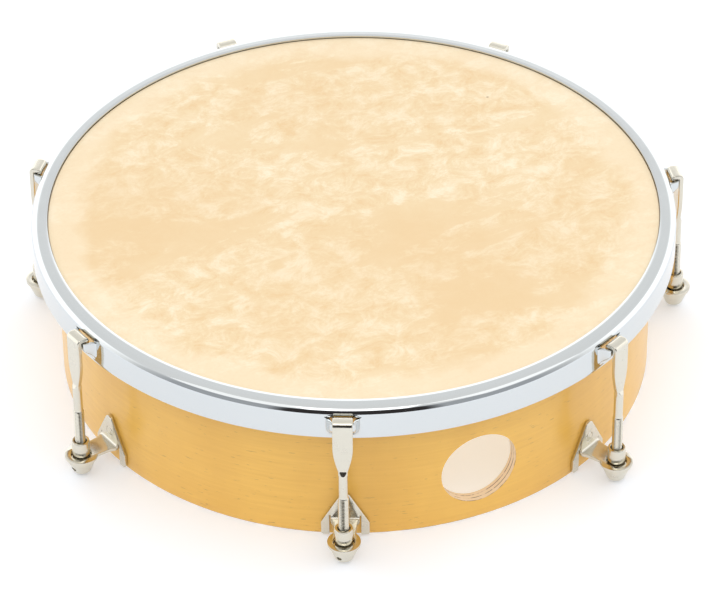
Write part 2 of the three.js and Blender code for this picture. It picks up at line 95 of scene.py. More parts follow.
SHELL_INNER, SHELL_OUTER, SHELL_BOTTOM, SHELL_TOP = ring_of("shell")
_, SKIN_OUTER, SKIN_BOTTOM, SKIN_TOP = ring_of("skin")
FLESH_INNER, FLESH_OUTER, FLESH_BOTTOM, FLESH_TOP = ring_of("flesh_hoop")
HOOP_INNER, _, HOOP_BOTTOM, HOOP_TOP = ring_of("counterhoop")


def lug_box(node):
    """The lowest and highest corner of a CAD node at the square lug, where y is the distance outwards."""
    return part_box(f"{node}_{SQUARE_LUG}")


HOOK_LOW, HOOK_HIGH = lug_box("tension_hook")
NUT_LOW, NUT_HIGH = lug_box("tension_nut")
SCREW_LOW, SCREW_HIGH = lug_box("lug_screw")
WASHER_LOW, WASHER_HIGH = lug_box("lug_washer")
HEX_LOW, HEX_HIGH = lug_box("lug_hex_nut")


class HandDrumSizes(PropertyGroup):
    hole_radius: FloatProperty(
        name="Thumb hole radius", description="Radius of the round hole in the shell",
        default=16.9 * MM, unit="LENGTH")
    hole_height: FloatProperty(
        name="Thumb hole height", description="Height of the hole's centre over the shell's bottom",
        default=25.7 * MM, unit="LENGTH")
    skin_thickness: FloatProperty(
        name="Skin thickness", description="Thickness of the playing skin",
        default=0.8 * MM, unit="LENGTH")
    hoop_sheet: FloatProperty(
        name="Hoop sheet", description="Thickness of the counterhoop's sheet",
        default=1.5 * MM, unit="LENGTH")
    hoop_corner: FloatProperty(
        name="Hoop corner", description="Outer radius between the hoop's flange and skirt",
        default=3.2 * MM, unit="LENGTH")
    skirt_radius: FloatProperty(
        name="Skirt radius", description="Outer radius of the hoop's skirt between the ears",
        default=137.2 * MM, unit="LENGTH")
    ear_drop: FloatProperty(
        name="Ear drop", description="How far the ears' top edge lies under the flange",
        default=4.2 * MM, unit="LENGTH")
    ear_reach: FloatProperty(
        name="Ear reach", description="How far an ear is pressed out of the skirt",
        default=4.55 * MM, unit="LENGTH")
    ear_half_width: FloatProperty(
        name="Ear half width", description="From an ear's middle to where it leaves the skirt",
        default=7.35 * MM, unit="LENGTH")
    hook_width: FloatProperty(
        name="Hook width", description="Width of the hook's flat strip",
        default=8.3 * MM, unit="LENGTH")
    hook_sheet: FloatProperty(
        name="Hook thickness", description="Thickness of the hook's flat strip",
        default=2.0 * MM, unit="LENGTH")
    rod_radius: FloatProperty(
        name="Rod radius", description="Radius of the hook's plain rod",
        default=1.95 * MM, unit="LENGTH")
    thread_radius: FloatProperty(
        name="Thread radius", description="Outer radius of the hook's thread",
        default=2.25 * MM, unit="LENGTH")
    thread_pitch: FloatProperty(
        name="Thread pitch", description="Rise of the thread in one turn",
        default=0.75 * MM, unit="LENGTH")
    bracket_sheet: FloatProperty(
        name="Bracket sheet", description="Thickness of the lug bracket's sheet",
        default=1.5 * MM, unit="LENGTH")
    round_steps: IntProperty(
        name="Steps round the drum", description="Faces round the shell and the skin",
        default=256, min=64)


class HandDrumColours(PropertyGroup):
    varnish: FloatVectorProperty(
        name="Varnish", description="Golden varnish on the shell's outside",
        subtype="COLOR", default=display_colour(243, 191, 88))
    varnish_streak: FloatVectorProperty(
        name="Varnish streaks", description="Darker streaks of the wood's grain",
        subtype="COLOR", default=display_colour(220, 163, 66))
    bare_wood: FloatVectorProperty(
        name="Bare wood", description="Pale wood inside the shell",
        subtype="COLOR", default=display_colour(241, 223, 182))
    ply_edge: FloatVectorProperty(
        name="Ply edge", description="Pinkish pale wood on the shell's cut edges",
        subtype="COLOR", default=display_colour(252, 228, 198))
    glue_line: FloatVectorProperty(
        name="Glue line", description="Brown lines between the plies",
        subtype="COLOR", default=display_colour(120, 76, 44))
    skin: FloatVectorProperty(
        name="Skin", description="Cream colour of the playing skin",
        subtype="COLOR", default=display_colour(240, 215, 172))
    skin_tan: FloatVectorProperty(
        name="Skin patches", description="Tan patches of the playing skin",
        subtype="COLOR", default=display_colour(235, 202, 152))
    skin_pale: FloatVectorProperty(
        name="Skin streaks", description="Pale brushed streaks of the playing skin",
        subtype="COLOR", default=display_colour(250, 234, 204))
    speck: FloatVectorProperty(
        name="Specks", description="Small dark specks in the skin",
        subtype="COLOR", default=display_colour(150, 104, 62))
    chrome: FloatVectorProperty(
        name="Chrome", description="Bright plate of the counterhoop",
        subtype="COLOR", default=display_colour(214, 217, 217))
    nickel: FloatVectorProperty(
        name="Nickel", description="Slightly warm plate of the hooks, nuts and brackets",
        subtype="COLOR", default=display_colour(219, 214, 200))
    zinc: FloatVectorProperty(
        name="Zinc", description="Bright zinc plate of the washers and hex nuts",
        subtype="COLOR", default=display_colour(214, 217, 220))


# Modelling helpers

def deselect_all():
    """Leaves edit mode and deselects every object."""
    if bpy.context.object and bpy.context.object.mode != "OBJECT":
        bpy.ops.object.mode_set(mode="OBJECT")
    bpy.ops.object.select_all(action="DESELECT")


def activate(piece):
    deselect_all()
    piece.select_set(True)
    bpy.context.view_layer.objects.active = piece


def trace(name, points, closed=False):
    """Draws a line of edges by extruding a vertex from point to point, left selected in edit mode."""
    path = [Vector(p) for p in points]
    if closed:
        path.append(path[0])
    deselect_all()
    bpy.ops.mesh.primitive_plane_add(size=MM, location=ORIGIN)
    piece = bpy.context.object
    piece.name = piece.data.name = name
    bpy.ops.object.mode_set(mode="EDIT")
    bpy.ops.mesh.select_mode(type="VERT")
    bpy.ops.mesh.select_all(action="SELECT")
    bpy.ops.mesh.merge(type="CENTER")
    bpy.ops.transform.translate(value=path[0])
    for here, there in zip(path, path[1:]):
        bpy.ops.mesh.extrude_vertices_move(TRANSFORM_OT_translate={"value": there - here})
    bpy.ops.mesh.select_all(action="SELECT")
    bpy.ops.mesh.remove_doubles(threshold=1e-7)
    return piece


def extrude(move):
    """Extrudes what is selected in edit mode and moves it."""
    bpy.ops.mesh.extrude_region_move(TRANSFORM_OT_translate={"value": move})


def apply_place():
    """Applies the active object's place, turn and size to its mesh."""
    bpy.ops.object.transform_apply(location=True, rotation=True, scale=True)


def profile(points, distance=0.0):
    """Places (radius, level) points in the plane through the drum's front, round an axis at a distance."""
    return [(0.0, -(distance + radius), level) for radius, level in points]


def arc(centre_radius, centre_level, radius, start, end, steps):
    """Points of an arc in the (radius, level) plane, with its angles in degrees from straight outwards."""
    turns = [math.radians(start + (end - start) * i / steps) for i in range(steps + 1)]
    return [(centre_radius + radius * math.cos(t), centre_level + radius * math.sin(t)) for t in turns]


def close_up():
    """Merges the doubles of the mesh in edit mode and turns its faces outwards."""
    bpy.ops.mesh.select_all(action="SELECT")
    bpy.ops.mesh.remove_doubles(threshold=1e-5)
    bpy.ops.mesh.normals_make_consistent(inside=False)


def spin_round(steps, centre=ORIGIN, axis=UP):
    """Spins the selected profile a whole turn."""
    bpy.ops.mesh.spin(steps=steps, angle=math.tau, center=centre, axis=axis)
    close_up()


def select_where(piece, kind, chosen):
    """Selects the mesh's faces or edges, kind FACE or EDGE, for which chosen(it) holds, in edit mode."""
    bpy.ops.mesh.select_all(action="DESELECT")
    bpy.ops.mesh.select_mode(type=kind)
    mesh = bmesh.from_edit_mesh(piece.data)
    for part in mesh.faces if kind == "FACE" else mesh.edges:
        if chosen(part):
            part.select_set(True)
    bmesh.update_edit_mesh(piece.data)


def shape(piece, place):
    """Moves each vertex of a mesh to place(its coordinate), in object mode."""
    bpy.ops.object.mode_set(mode="OBJECT")
    for vertex in piece.data.vertices:
        vertex.co = place(vertex.co)
    piece.data.update()


def add_modifier(piece, kind, **settings):
    """Adds a modifier with its settings and applies it."""
    activate(piece)
    bpy.ops.object.modifier_add(type=kind)
    modifier = piece.modifiers[-1]
    for setting, value in settings.items():
        setattr(modifier, setting, value)
    bpy.ops.object.modifier_apply(modifier=modifier.name)


def cut(piece, cutter, operation="DIFFERENCE"):
    """Cuts a piece with a cutter, which is then deleted."""
    add_modifier(piece, "BOOLEAN", object=cutter, operation=operation, solver="EXACT")
    bpy.data.objects.remove(cutter)


OUTWARDS = (math.pi / 2, 0, 0)  # lays an upright cylinder along y


def cylinder(radius, depth, place, turn, vertices):
    """A cylinder used as a cutter."""
    deselect_all()
    bpy.ops.mesh.primitive_cylinder_add(
        vertices=vertices, radius=radius, depth=depth, location=place, rotation=turn)
    apply_place()
    return bpy.context.object


def finish_piece(piece, body, nodes, material):
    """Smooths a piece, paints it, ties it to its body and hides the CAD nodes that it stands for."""
    activate(piece)
    bpy.ops.object.shade_smooth_by_angle(angle=SMOOTH_ANGLE)
    piece.data.materials.clear()
    piece.data.materials.append(material)
    deselect_all()
    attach(piece, body)
    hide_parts(*nodes)


def copy_round(piece, name, node, body, material, own_turns=None):
    """Sets a copy of a piece modelled at the drum's front at every lug, and deletes the first.

    own_turns gives each lug's turn round the piece's own upright axis, in degrees.
    """
    for number, lug_angle, distance in LUGS:
        activate(piece)
        bpy.ops.object.duplicate()
        copy = bpy.context.object
        copy.name = copy.data.name = f"{name}_{number}"
        if own_turns:
            spot = Vector((0, -distance, 0))
            own_turn = Matrix.Rotation(math.radians(own_turns[number]), 4, "Z")
            copy.data.transform(Matrix.Translation(spot) @ own_turn @ Matrix.Translation(-spot))
        copy.rotation_euler = (0, 0, lug_angle)
        apply_place()
        finish_piece(copy, body.format(number), [f"{node}_{number}"], material)
    bpy.data.objects.remove(piece)


# Finishes

def new_finish(name, roughness, metallic=0.0):
    finish = bpy.data.materials.new(name)
    finish.use_nodes = True
    shader = finish.node_tree.nodes["Principled BSDF"]
    shader.inputs["Roughness"].default_value = roughness
    shader.inputs["Metallic"].default_value = metallic
    return finish, finish.node_tree, shader


def add_node(tree, kind, output, inputs=None):
    """Adds a node with its inputs by name, each a socket or a value, and returns one of its outputs."""
    node = tree.nodes.new(f"ShaderNode{kind}")
    for name, given in (inputs or {}).items():
        if isinstance(given, bpy.types.NodeSocket):
            tree.links.new(given, node.inputs[name])
        else:
            node.inputs[name].default_value = given
    return node.outputs[output]


def object_place(tree):
    return add_node(tree, "TexCoord", "Object")


def add_noise(tree, stretch, detail=3.0, roughness=0.5, distortion=0.0):
    """A noise in object coordinates with its stretch in waves a metre along x, y and z."""
    place = add_node(tree, "Mapping", "Vector", {"Vector": object_place(tree), "Scale": stretch})
    return add_node(tree, "TexNoise", "Fac", {
        "Vector": place, "Scale": 1.0, "Detail": detail, "Roughness": roughness, "Distortion": distortion})


def add_ramp(tree, value, stops):
    """A colour ramp through stops of (place, linear colour)."""
    ramp = tree.nodes.new("ShaderNodeValToRGB")
    elements = ramp.color_ramp.elements
    elements[0].position, elements[-1].position = stops[0][0], stops[-1][0]
    for place, _ in stops[1:-1]:
        elements.new(place)
    for element, (_, colour) in zip(elements, stops):
        element.color = (*colour[:3], 1.0)
    tree.links.new(value, ramp.inputs["Fac"])
    return ramp.outputs["Color"]


def add_range(tree, value, low, high, to_low, to_high):
    """Maps a value from one range to another, clamped."""
    return add_node(tree, "MapRange", "Result", {
        "Value": value, "From Min": low, "From Max": high, "To Min": to_low, "To Max": to_high})


def add_mix(tree, share, first, second):
    """Mixes two colours, each a socket or a linear colour, by a share, a socket or a number."""
    mix = tree.nodes.new("ShaderNodeMix")
    mix.data_type = "RGBA"
    for socket, given in ((mix.inputs[0], share), (mix.inputs[6], first), (mix.inputs[7], second)):
        if isinstance(given, bpy.types.NodeSocket):
            tree.links.new(given, socket)
        elif isinstance(given, (int, float)):
            socket.default_value = given
        else:
            socket.default_value = (*given[:3], 1.0)
    return mix.outputs[2]


def lay_over(tree, under, over, pattern, low, high, share):
    """Lays one colour over another, up to a share, where a pattern runs from low to high."""
    return add_mix(tree, add_range(tree, pattern, low, high, 0.0, share), under, over)


def add_bump(tree, shader, height, strength, distance):
    bump = add_node(tree, "Bump", "Normal", {"Height": height, "Strength": strength, "Distance": distance})
    tree.links.new(bump, shader.inputs["Normal"])


def add_math(tree, operation, first, second=None):
    """One sum on two values, each a socket or a number."""
    sum_node = tree.nodes.new("ShaderNodeMath")
    sum_node.operation = operation
    for socket, given in zip(sum_node.inputs, (first, second)):
        if isinstance(given, bpy.types.NodeSocket):
            tree.links.new(given, socket)
        elif given is not None:
            socket.default_value = given
    return sum_node.outputs["Value"]


def add_place(tree, axis):
    """The place along one of the drum's axes."""
    return add_node(tree, "SeparateXYZ", axis, {"Vector": object_place(tree)})


def add_axis_distance(tree):
    """The distance from the drum's axis."""
    squares = [add_math(tree, "POWER", add_place(tree, axis), 2.0) for axis in ("X", "Y")]
    return add_math(tree, "SQRT", add_math(tree, "ADD", *squares))


def shell_finish(colours):
    """Golden varnish outside with horizontal grain, pale wood inside and the plies on the cut edges."""
    finish, tree, shader = new_finish("varnished bent ply", 0.32)
    grain = add_noise(tree, (34, 34, 760), 4.0, 0.6)
    streaks = add_noise(tree, (16, 16, 260), 4.0, 0.6, 0.4)
    clouds = add_noise(tree, (24, 24, 9), 4.0, 0.55)
    flecks = add_noise(tree, (190, 190, 1500), 2.0, 0.5)
    fine = lay_over(tree, colours.varnish, colours.varnish_streak, grain, 0.35, 0.68, 0.28)
    cloudy = lay_over(tree, fine, colours.varnish_streak, clouds, 0.4, 0.7, 0.45)
    streaked = lay_over(tree, cloudy, colours.varnish_streak, streaks, 0.58, 0.76, 0.4)
    varnished = lay_over(tree, streaked, colours.speck, flecks, 0.68, 0.74, 0.5)

    bare_grain = add_range(tree, grain, 0.4, 0.75, 0.0, 0.5)
    bare = add_mix(tree, bare_grain, colours.bare_wood, colours.ply_edge)
    radius = add_axis_distance(tree)
    ply = (SHELL_OUTER - SHELL_INNER) / 3
    plies_in = add_math(tree, "DIVIDE", add_math(tree, "SUBTRACT", radius, SHELL_INNER), ply)
    layer = add_math(tree, "FRACT", plies_in)
    glue_begins = add_range(tree, layer, 0.76, 0.84, 0.0, 1.0)
    glue_ends = add_range(tree, layer, 0.94, 1.0, 0.0, 1.0)
    glue = add_math(tree, "SUBTRACT", glue_begins, glue_ends)
    patchy = add_range(tree, add_noise(tree, (240, 240, 240), 3.0, 0.6), 0.4, 0.52, 0.1, 0.95)
    edge_wood = add_mix(tree, bare_grain, colours.ply_edge, colours.bare_wood)
    plies = add_mix(tree, add_math(tree, "MULTIPLY", glue, patchy), edge_wood, colours.glue_line)
    from_inside = add_range(tree, radius, SHELL_INNER + 0.15 * MM, SHELL_INNER + 0.35 * MM, 0.0, 1.0)
    to_outside = add_range(tree, radius, SHELL_OUTER - 0.14 * MM, SHELL_OUTER - 0.05 * MM, 0.0, 1.0)
    wood = add_mix(tree, from_inside, bare, plies)
    tree.links.new(add_mix(tree, to_outside, wood, varnished), shader.inputs["Base Color"])
    tree.links.new(add_range(tree, to_outside, 0.0, 1.0, 0.62, 0.3), shader.inputs["Roughness"])
    shader.inputs["Coat Weight"].default_value = 0.25
    shader.inputs["Coat Roughness"].default_value = 0.16
    add_bump(tree, shader, grain, 0.08, 0.3 * MM)
    return finish


def skin_finish(colours, name="natural skin"):
    """Cream skin with mottling, brushed streaks, calm tan patches, a paler rim and a few dark specks."""
    finish, tree, shader = new_finish(name, 0.46)
    regions = add_noise(tree, (9, 9, 9), 3.0, 0.5, 0.3)
    mottles = add_noise(tree, (74, 84, 74), 10.0, 0.78, 0.5)
    streaks = add_noise(tree, (80, 130, 80), 8.0, 0.72, 0.9)
    pores = add_noise(tree, (600, 600, 600), 3.0, 0.6)
    islands = add_noise(tree, (11, 27, 11), 9.0, 0.66, 0.4)
    wobble = add_noise(tree, (30, 30, 30), 5.0, 0.6)
    mottled = add_ramp(
        tree, mottles, [(0.38, colours.skin_tan), (0.5, colours.skin), (0.62, colours.skin_pale)])
    broad = lay_over(tree, mottled, colours.skin_tan, regions, 0.42, 0.66, 0.6)
    brushed = lay_over(tree, broad, colours.skin_pale, streaks, 0.5, 0.66, 0.45)
    even = add_mix(tree, add_range(tree, regions, 0.36, 0.62, 0.1, 0.85), colours.skin, colours.skin_tan)
    # The front of the skin holds a little more of the calm patches.
    calm_front = add_range(tree, add_place(tree, "Y"), -0.12, 0.0, 0.03, 0.0)
    calm = add_range(tree, add_math(tree, "ADD", islands, calm_front), 0.52, 0.55, 0.0, 0.8)
    patched = add_mix(tree, calm, brushed, even)
    wavy = add_range(tree, wobble, 0.3, 0.7, -6 * MM, 6 * MM)
    reach = add_math(tree, "ADD", add_axis_distance(tree), wavy)
    rimmed = lay_over(tree, patched, colours.skin_pale, reach, 113 * MM, 121 * MM, 0.5)
    pored = lay_over(tree, rimmed, colours.skin_tan, pores, 0.5, 0.75, 0.2)
    spread = add_node(tree, "TexVoronoi", "Distance", {"Vector": object_place(tree), "Scale": 22.0})
    chance = add_node(tree, "SeparateColor", "Red", {"Color": spread.node.outputs["Color"]})
    near = add_range(tree, spread, 0.014, 0.024, 1.0, 0.0)
    rare = add_range(tree, chance, 0.7, 0.71, 0.0, 0.9)
    speck = add_math(tree, "MULTIPLY", near, rare)
    tree.links.new(add_mix(tree, speck, pored, colours.speck), shader.inputs["Base Color"])
    tree.links.new(add_range(tree, streaks, 0.4, 0.7, 0.4, 0.56), shader.inputs["Roughness"])
    add_bump(tree, shader, streaks, 0.12, 0.4 * MM)
    return finish


def metal_finish(name, colour, roughness):
    """Polished plate with a faint unevenness in its gloss."""
    finish, tree, shader = new_finish(name, roughness, 1.0)
    shader.inputs["Base Color"].default_value = (*colour, 1.0)
    clouds = add_noise(tree, (160, 160, 160), 3.0, 0.6)
    uneven = add_range(tree, clouds, 0.35, 0.75, roughness * 0.7, roughness * 1.6)
    tree.links.new(uneven, shader.inputs["Roughness"])
    add_bump(tree, shader, clouds, 0.04, 0.2 * MM)
    return finish


# Pieces

class HANDDRUM_OT_shell(Operator):
    """Models the bent wooden shell with its thumb hole"""
    bl_idname = "handdrum.shell"
    bl_label = "Shell"

    def execute(self, context):
        sizes = context.scene.hand_drum_sizes
        edge = 0.9 * MM
        bearing = 1.5 * MM
        wall = SHELL_TOP - SHELL_BOTTOM - edge - bearing
        rows = 16
        levels = [SHELL_BOTTOM + edge + wall * i / rows for i in range(rows + 1)]
        outline = arc(SHELL_OUTER - bearing, SHELL_TOP - bearing, bearing, 0, 90, 5)
        outline += arc(SHELL_INNER + edge, SHELL_TOP - edge, edge, 90, 180, 4)
        outline += [(SHELL_INNER, level) for level in reversed(levels[1:-1])]
        outline += arc(SHELL_INNER + edge, SHELL_BOTTOM + edge, edge, 180, 270, 4)
        outline += arc(SHELL_OUTER - edge, SHELL_BOTTOM + edge, edge, 270, 360, 4)
        outline += [(SHELL_OUTER, level) for level in levels[1:-1]]
        shell = trace("bent_shell", profile(outline), closed=True)
        spin_round(sizes.round_steps)
        hole_level = SHELL_BOTTOM + sizes.hole_height
        middle = -(SHELL_INNER + SHELL_OUTER) / 2
        cut(shell, cylinder(sizes.hole_radius, 20 * MM, (0, middle, hole_level), OUTWARDS, 128))
        bpy.ops.object.mode_set(mode="EDIT")

        def on_hole_rim(edge_of_hole):
            for vertex in edge_of_hole.verts:
                reach = math.hypot(vertex.co.x, vertex.co.z - hole_level)
                if vertex.co.y > 0 or abs(reach - sizes.hole_radius) > 0.02 * MM:
                    return False
            return edge_of_hole.calc_face_angle(0) > math.radians(40)

        select_where(shell, "EDGE", on_hole_rim)
        bpy.ops.mesh.bevel(offset=0.7 * MM, segments=4, affect="EDGES", clamp_overlap=True)
        finish_piece(shell, "drum", ["shell"], shell_finish(context.scene.hand_drum_colours))
        return {"FINISHED"}


class HANDDRUM_OT_skin(Operator):
    """Models the playing skin, drawn over the bearing edge"""
    bl_idname = "handdrum.skin"
    bl_label = "Skin"

    def execute(self, context):
        sizes = context.scene.hand_drum_sizes
        # A thin brim carries the skin's surface on towards the hoop's flange.
        brim = HOOP_INNER - 0.3 * MM
        brim_round = 0.2 * MM
        inside = SKIN_OUTER - sizes.skin_thickness
        underside = SKIN_TOP - sizes.skin_thickness
        brim_low = SKIN_TOP - 2 * brim_round
        collar = [brim_low - (brim_low - SKIN_BOTTOM) * i / 4 for i in range(5)]
        outline = [(inside * i / 14, SKIN_TOP) for i in range(15)]
        outline += arc(brim - brim_round, SKIN_TOP - brim_round, brim_round, 90, -90, 8)
        outline += [(SKIN_OUTER, level) for level in collar]
        outline += [(inside, level) for level in reversed(collar[1:])]
        outline += [(inside * i / 14, underside) for i in range(14, -1, -1)]
        skin = trace("playing_skin", profile(outline))
        spin_round(sizes.round_steps)
        finish_piece(skin, "drum", ["skin"], skin_finish(context.scene.hand_drum_colours))
        return {"FINISHED"}


class HANDDRUM_OT_flesh_hoop(Operator):
    """Models the hoop that the skin is lapped round, with its small puckers"""
    bl_idname = "handdrum.flesh_hoop"
    bl_label = "Flesh Hoop"

    def execute(self, context):
        corner = 1.6 * MM
        near_skin = 0.5 * MM
        outline = arc(FLESH_OUTER - corner, FLESH_TOP - corner, corner, 0, 90, 5)
        outline += arc(FLESH_INNER + near_skin, FLESH_TOP - near_skin, near_skin, 90, 180, 5)
        outline += arc(FLESH_INNER + corner, FLESH_BOTTOM + corner, corner, 180, 270, 5)
        outline += arc(FLESH_OUTER - corner, FLESH_BOTTOM + corner, corner, 270, 360, 5)
        hoop = trace("lapped_hoop", profile(outline), closed=True)
        spin_round(720)
        middle = (FLESH_INNER + FLESH_OUTER) / 2
        level = (FLESH_BOTTOM + FLESH_TOP) / 2

        def pucker(place):
            angle = math.atan2(place.y, place.x)
            radius = math.hypot(place.x, place.y)
            fold = noise.noise(Vector((math.cos(angle) * 40, math.sin(angle) * 40, place.z * 300)))
            fine = noise.noise(Vector((math.cos(angle) * 120, math.sin(angle) * 120, 5.0)))
            shrink = 1 - 0.03 * (0.5 + fold) - 0.02 * (0.5 + fine)
            near = middle + (radius - middle) * shrink
            return Vector((
                math.cos(angle) * near, math.sin(angle) * near, level + (place.z - level) * shrink))

        shape(hoop, pucker)
        finish = skin_finish(context.scene.hand_drum_colours, "lapped skin")
        finish_piece(hoop, "hoop", ["flesh_hoop"], finish)
        return {"FINISHED"}


def smooth_step(value, low, high):
    """Rises smoothly from 0 at low to 1 at high."""
    share = min(1.0, max(0.0, (value - low) / (high - low)))
    return share * share * (3 - 2 * share)


class HANDDRUM_OT_counterhoop(Operator):
    """Models the chromed counterhoop and presses its seven ears out of the skirt"""
    bl_idname = "handdrum.counterhoop"
    bl_label = "Counterhoop"

    def execute(self, context):
        sizes = context.scene.hand_drum_sizes
        corner = sizes.hoop_corner
        skirt = sizes.skirt_radius
        ear_top = HOOP_TOP - sizes.ear_drop
        slit_top = ear_top + 0.4 * MM
        flank = 2.9 * MM
        outline = [(HOOP_INNER + across, HOOP_TOP) for across in (0, 1.6 * MM, 3.2 * MM)]
        outline += arc(skirt - corner, HOOP_TOP - corner, corner, 90, 0, 10)
        outline += [(skirt, slit_top + 0.5 * MM), (skirt, slit_top), (skirt, ear_top)]
        ear_rows, ear_steps, between_steps = 28, 48, 44
        ear_depth = 9.35 * MM
        outline += [(skirt, ear_top - ear_depth * i / ear_rows) for i in range(1, ear_rows + 1)]
        outline += [(skirt, HOOP_BOTTOM)]
        hoop = trace("counterhoop_chrome", profile(outline))
        ear_angle = 2 * (sizes.ear_half_width + 0.4 * MM) / skirt
        between = math.tau / len(LUGS) - ear_angle
        # The profile starts at the front, half way between two lugs.
        bpy.ops.mesh.spin(steps=between_steps // 2, angle=between / 2, center=ORIGIN, axis=UP)
        for number in range(len(LUGS)):
            bpy.ops.mesh.spin(steps=ear_steps, angle=ear_angle, center=ORIGIN, axis=UP)
            part = 2 if number == len(LUGS) - 1 else 1
            bpy.ops.mesh.spin(steps=between_steps // part, angle=between / part, center=ORIGIN, axis=UP)
        close_up()

        def across(place):
            """The distance along the skirt from the nearest lug."""
            angle = math.atan2(place.x, -place.y)
            gaps = [abs((angle - lug + math.pi) % math.tau - math.pi) for _, lug, _ in LUGS]
            return min(gaps) * skirt

        def in_slit(face):
            centre = face.calc_center_median()
            return ear_top < centre.z < slit_top and across(centre) < sizes.ear_half_width

        select_where(hoop, "FACE", in_slit)
        bpy.ops.mesh.delete(type="FACE")

        def reach_at(place):
            """The share of the ear's reach by which a place is pressed out: all at the top of an ear."""
            side = smooth_step(sizes.ear_half_width - across(place), 0, flank)
            down = 1 - smooth_step(ear_top - place.z, 2.6 * MM, 9.1 * MM)
            return side * down if place.z <= ear_top + 0.01 * MM else 0.0

        bpy.ops.object.mode_set(mode="OBJECT")
        if sum(face.normal.z for face in hoop.data.polygons) < 0:
            hoop.data.flip_normals()
        full_sheet = hoop.vertex_groups.new(name="full sheet")
        for vertex in hoop.data.vertices:
            x, y, z = vertex.co
            pressed = reach_at(vertex.co)
            full_sheet.add([vertex.index], 1.0 - pressed, "REPLACE")
            stretch = 1 + pressed * sizes.ear_reach / math.hypot(x, y)
            vertex.co = Vector((x * stretch, y * stretch, z))
        hoop.data.update()
        add_modifier(
            hoop, "SOLIDIFY", thickness=sizes.hoop_sheet, offset=-1.0, use_even_offset=False,
            vertex_group="full sheet", thickness_vertex_group=0.8)
        add_modifier(
            hoop, "BEVEL", width=0.18 * MM, segments=2, limit_method="ANGLE", angle_limit=math.radians(50))
        finish = metal_finish("chrome plate", context.scene.hand_drum_colours.chrome, 0.07)
        finish_piece(hoop, "hoop", ["counterhoop"], finish)
        return {"FINISHED"}


class HANDDRUM_OT_hooks(Operator):
    """Models one tension hook from its threaded end to its claw, and sets one at each lug"""
    bl_idname = "handdrum.hooks"
    bl_label = "Tension Hooks"

    def execute(self, context):
        hook = tension_hook(context.scene.hand_drum_sizes)
        finish = metal_finish("nickel plate of the hooks", context.scene.hand_drum_colours.nickel, 0.2)
        copy_round(hook, "hook", "tension_hook", "hook_{}", finish)
        return {"FINISHED"}


# Directions round the hook, closer together where its flat sides have their corners.
QUADRANT = (0, 4, 7, 9, 10.5, 12, 13.5, 15, 17, 19, 22, 26, 32, 40, 50, 60, 70, 80, 90)
HOOK_DIRECTIONS = sorted({
    math.radians((quarter * 90 + (turn if quarter % 2 == 0 else 90 - turn)) % 360)
    for quarter in range(4) for turn in QUADRANT})
BEND_RADIUS = 0.2 * MM  # inside the hook's two bends
CLAW_BACK = 140.25 * MM  # the claw's outer face, behind the ear


def rounded_bar_reach(direction, half_width, half_depth, corner):
    """How far a ray from the middle of a bar with rounded corners runs to the bar's surface."""
    cos, sin = abs(math.cos(direction)), abs(math.sin(direction))
    reach = min(half_width / max(cos, 1e-9), half_depth / max(sin, 1e-9))
    inner_width, inner_depth = half_width - corner, half_depth - corner
    if reach * cos > inner_width and reach * sin > inner_depth:
        along = inner_width * cos + inner_depth * sin
        beside = inner_width ** 2 + inner_depth ** 2 - along ** 2
        reach = along + math.sqrt(max(0.0, corner ** 2 - beside))
    return reach


